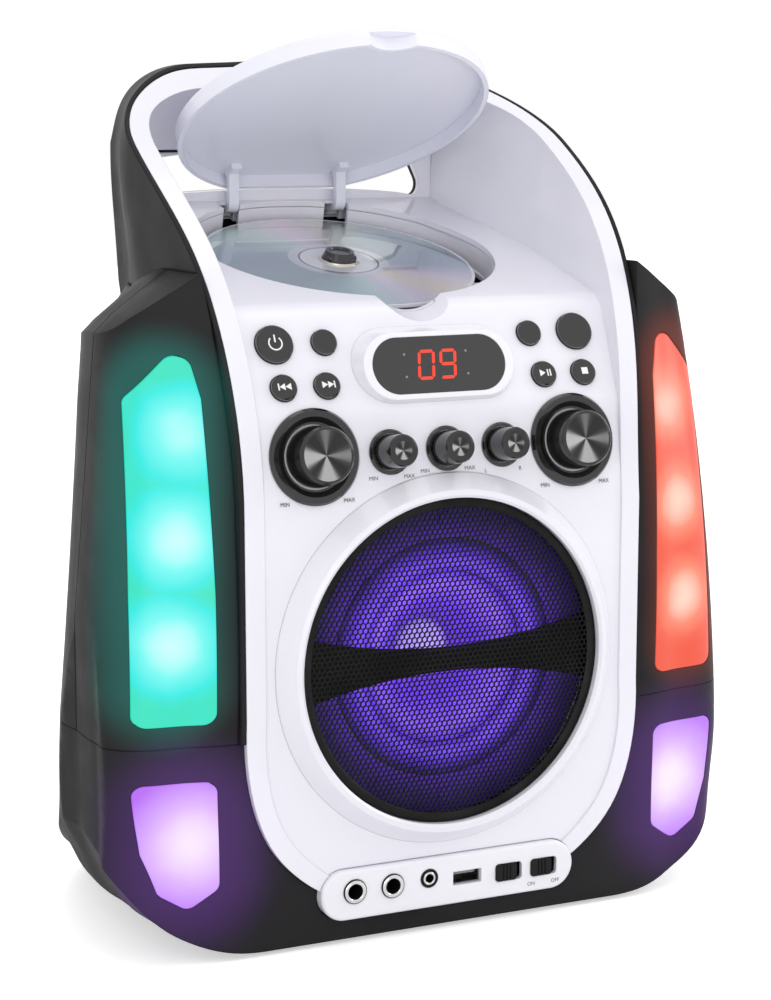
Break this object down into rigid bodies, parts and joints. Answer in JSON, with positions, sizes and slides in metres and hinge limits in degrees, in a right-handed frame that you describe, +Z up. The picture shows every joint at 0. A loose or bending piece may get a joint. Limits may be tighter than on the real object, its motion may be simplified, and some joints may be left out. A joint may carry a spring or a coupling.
{
  "type": "karaoke machine",
  "caption": "Tabletop karaoke machine with a hood and carry slot, a lidded disc tray, a round speaker, lit side wings, buttons, knobs, jacks and slide switches.",
  "frame": {"origin": "on the ground, in the middle of the machine's bounding box", "axes": "+Z up, -Y towards the front with the speaker and controls, +X to the right seen from the front"},
  "size_m": [0.2886, 0.196, 0.3697],
  "materials": {
    "black_shell": "fine satin texture",
    "white_moulding": "glossy",
    "cyan_lens": "frosted, lit from behind",
    "coral_lens": "frosted, lit from behind",
    "violet_lens": "frosted, lit from behind",
    "grille_steel": "satin black",
    "black_trim": "satin",
    "black_gloss": "glossy",
    "lamp_board": "white reflector",
    "basket_steel": "painted",
    "magnet": "dull",
    "surround": "matte",
    "cone": "pressed polypropylene",
    "plated_steel": "plated",
    "disc_mirror": "mirror with a soft rainbow",
    "nylon": "natural nylon",
    "foot_rubber": "matte",
    "dark_window": "glossy, dark tinted",
    "circuit_board": "solder mask",
    "jack_chrome": "polished"
  },
  "bodies": {
    "cabinet": {"base_housing": "black_shell", "wing_front_shells": "black_shell", "wing_rear_shells": "black_shell", "rear_cabinet": "black_shell", "front_frame": "white_moulding", "jack_panel": "white_moulding", "display_bezel": "white_moulding", "speaker_bezel": "white_moulding", "disc_bay": "white_moulding", "upper_lens_left": "cyan_lens", "upper_lens_right": "coral_lens", "lower_lenses": "violet_lens", "speaker_grille": "grille_steel", "grille_crossbar": "black_trim", "speaker_led_ring": "lamp_board", "upper_light_plates": "lamp_board", "lower_light_plates": "lamp_board", "speaker_basket": "basket_steel", "speaker_magnet": "magnet", "speaker_surround": "surround", "mechanism_chassis": "black_trim", "mechanism_motors": "plated_steel", "hinge_pins": "plated_steel", "housing_screws": "plated_steel", "rubber_feet": "foot_rubber", "display_window": "dark_window", "display_module": "black_trim", "knob_dials": "black_gloss", "potentiometers": "plated_steel", "button_board": "circuit_board", "main_board": "circuit_board", "rear_board": "circuit_board", "microphone_jacks": "jack_chrome", "aux_jack": "black_trim", "usb_port": "plated_steel", "slide_switches": "plated_steel", "rear_jacks": "jack_chrome", "dc_inlet": "black_trim"},
    "lid": {"lid": "white_moulding"},
    "disc_and_hub": {"disc": "disc_mirror", "spindle_hub": "black_gloss"},
    "pickup": {"pickup_sled": "black_trim"},
    "sled_gear": {"sled_gear": "nylon"},
    "motor_pinion": {"motor_pinion": "nylon"},
    "speaker_cone": {"speaker_cone": "cone"},
    "function_switch": {"function_switch": "black_trim"},
    "light_switch": {"light_switch": "black_trim"},
    "power_button": {"power_button": "black_gloss"},
    "repeat_button": {"repeat_button": "black_gloss"},
    "previous_button": {"previous_button": "black_gloss"},
    "next_button": {"next_button": "black_gloss"},
    "program_button": {"program_button": "black_gloss"},
    "light_show_button": {"light_show_button": "black_gloss"},
    "play_button": {"play_button": "black_gloss"},
    "stop_button": {"stop_button": "black_gloss"},
    "microphone_volume_knob": {"microphone_volume_knob": "black_gloss"},
    "echo_knob": {"echo_knob": "black_gloss"},
    "talk_over_knob": {"talk_over_knob": "black_gloss"},
    "balance_knob": {"balance_knob": "black_gloss"},
    "master_volume_knob": {"master_volume_knob": "black_gloss"}
  },
  "joints": [
    {"name": "lid_hinge", "type": "hinge", "parent": "cabinet", "child": "lid", "pos_m": [0, 0.0856, 0.29147], "axis": [1, 0, 0], "range_deg": [0, 43]},
    {"name": "disc_spin", "type": "hinge", "parent": "cabinet", "child": "disc_and_hub", "pos_m": [0, 0.0196, 0.2712], "axis": [0, -0.2588, 0.9659], "continuous": true},
    {"name": "sled_slide", "type": "slide", "parent": "cabinet", "child": "pickup", "axis": [1, 0, 0], "range_m": [0, 0.034]},
    {"name": "sled_gear_spin", "type": "hinge", "parent": "cabinet", "child": "sled_gear", "pos_m": [0.041, 0.03969, 0.27658], "axis": [0, -0.2588, 0.9659], "range_deg": [0, 407]},
    {"name": "motor_pinion_spin", "type": "hinge", "parent": "cabinet", "child": "motor_pinion", "pos_m": [0.041, 0.05128, 0.27969], "axis": [0, -0.2588, 0.9659], "range_deg": [-1220, 0]},
    {"name": "cone_stroke", "type": "slide", "parent": "cabinet", "child": "speaker_cone", "axis": [0, -1, 0], "range_m": [-0.0015, 0.0015], "stiffness_N_per_m": 2000},
    {"name": "power_button_press", "type": "slide", "parent": "cabinet", "child": "power_button", "axis": [0, 0.8878, -0.4602], "range_m": [0, 0.0008], "stiffness_N_per_m": 600},
    {"name": "repeat_button_press", "type": "slide", "parent": "cabinet", "child": "repeat_button", "axis": [0, 0.8878, -0.4602], "range_m": [0, 0.0008], "stiffness_N_per_m": 600},
    {"name": "previous_button_press", "type": "slide", "parent": "cabinet", "child": "previous_button", "axis": [0, 0.8878, -0.4602], "range_m": [0, 0.0008], "stiffness_N_per_m": 600},
    {"name": "next_button_press", "type": "slide", "parent": "cabinet", "child": "next_button", "axis": [0, 0.8878, -0.4602], "range_m": [0, 0.0008], "stiffness_N_per_m": 600},
    {"name": "program_button_press", "type": "slide", "parent": "cabinet", "child": "program_button", "axis": [0, 0.8878, -0.4602], "range_m": [0, 0.0008], "stiffness_N_per_m": 600},
    {"name": "light_show_button_press", "type": "slide", "parent": "cabinet", "child": "light_show_button", "axis": [0, 0.8878, -0.4602], "range_m": [0, 0.0008], "stiffness_N_per_m": 600},
    {"name": "play_button_press", "type": "slide", "parent": "cabinet", "child": "play_button", "axis": [0, 0.8878, -0.4602], "range_m": [0, 0.0008], "stiffness_N_per_m": 600},
    {"name": "stop_button_press", "type": "slide", "parent": "cabinet", "child": "stop_button", "axis": [0, 0.8878, -0.4602], "range_m": [0, 0.0008], "stiffness_N_per_m": 600},
    {"name": "microphone_volume_knob_turn", "type": "hinge", "parent": "cabinet", "child": "microphone_volume_knob", "pos_m": [-0.0586, -0.0827, 0.2016], "axis": [0, -0.9848, 0.1736], "range_deg": [-300, 0]},
    {"name": "echo_knob_turn", "type": "hinge", "parent": "cabinet", "child": "echo_knob", "pos_m": [-0.0254, -0.0827, 0.2016], "axis": [0, -0.9848, 0.1736], "range_deg": [-300, 0]},
    {"name": "talk_over_knob_turn", "type": "hinge", "parent": "cabinet", "child": "talk_over_knob", "pos_m": [0, -0.0827, 0.2016], "axis": [0, -0.9848, 0.1736], "range_deg": [-300, 0]},
    {"name": "balance_knob_turn", "type": "hinge", "parent": "cabinet", "child": "balance_knob", "pos_m": [0.0254, -0.0827, 0.2016], "axis": [0, -0.9848, 0.1736], "range_deg": [-300, 0]},
    {"name": "master_volume_knob_turn", "type": "hinge", "parent": "cabinet", "child": "master_volume_knob", "pos_m": [0.0586, -0.0827, 0.2016], "axis": [0, -0.9848, 0.1736], "range_deg": [-300, 0]},
    {"name": "function_switch_slide", "type": "slide", "parent": "cabinet", "child": "function_switch", "axis": [1, 0, 0], "range_m": [0, 0.0028]},
    {"name": "light_switch_slide", "type": "slide", "parent": "cabinet", "child": "light_switch", "axis": [1, 0, 0], "range_m": [0, 0.0028]}
  ],
  "couplings": [
    {"joint": "sled_gear_spin", "follows": "sled_slide", "rad_per_m": 208.33},
    {"joint": "motor_pinion_spin", "follows": "sled_slide", "rad_per_m": -625}
  ]
}
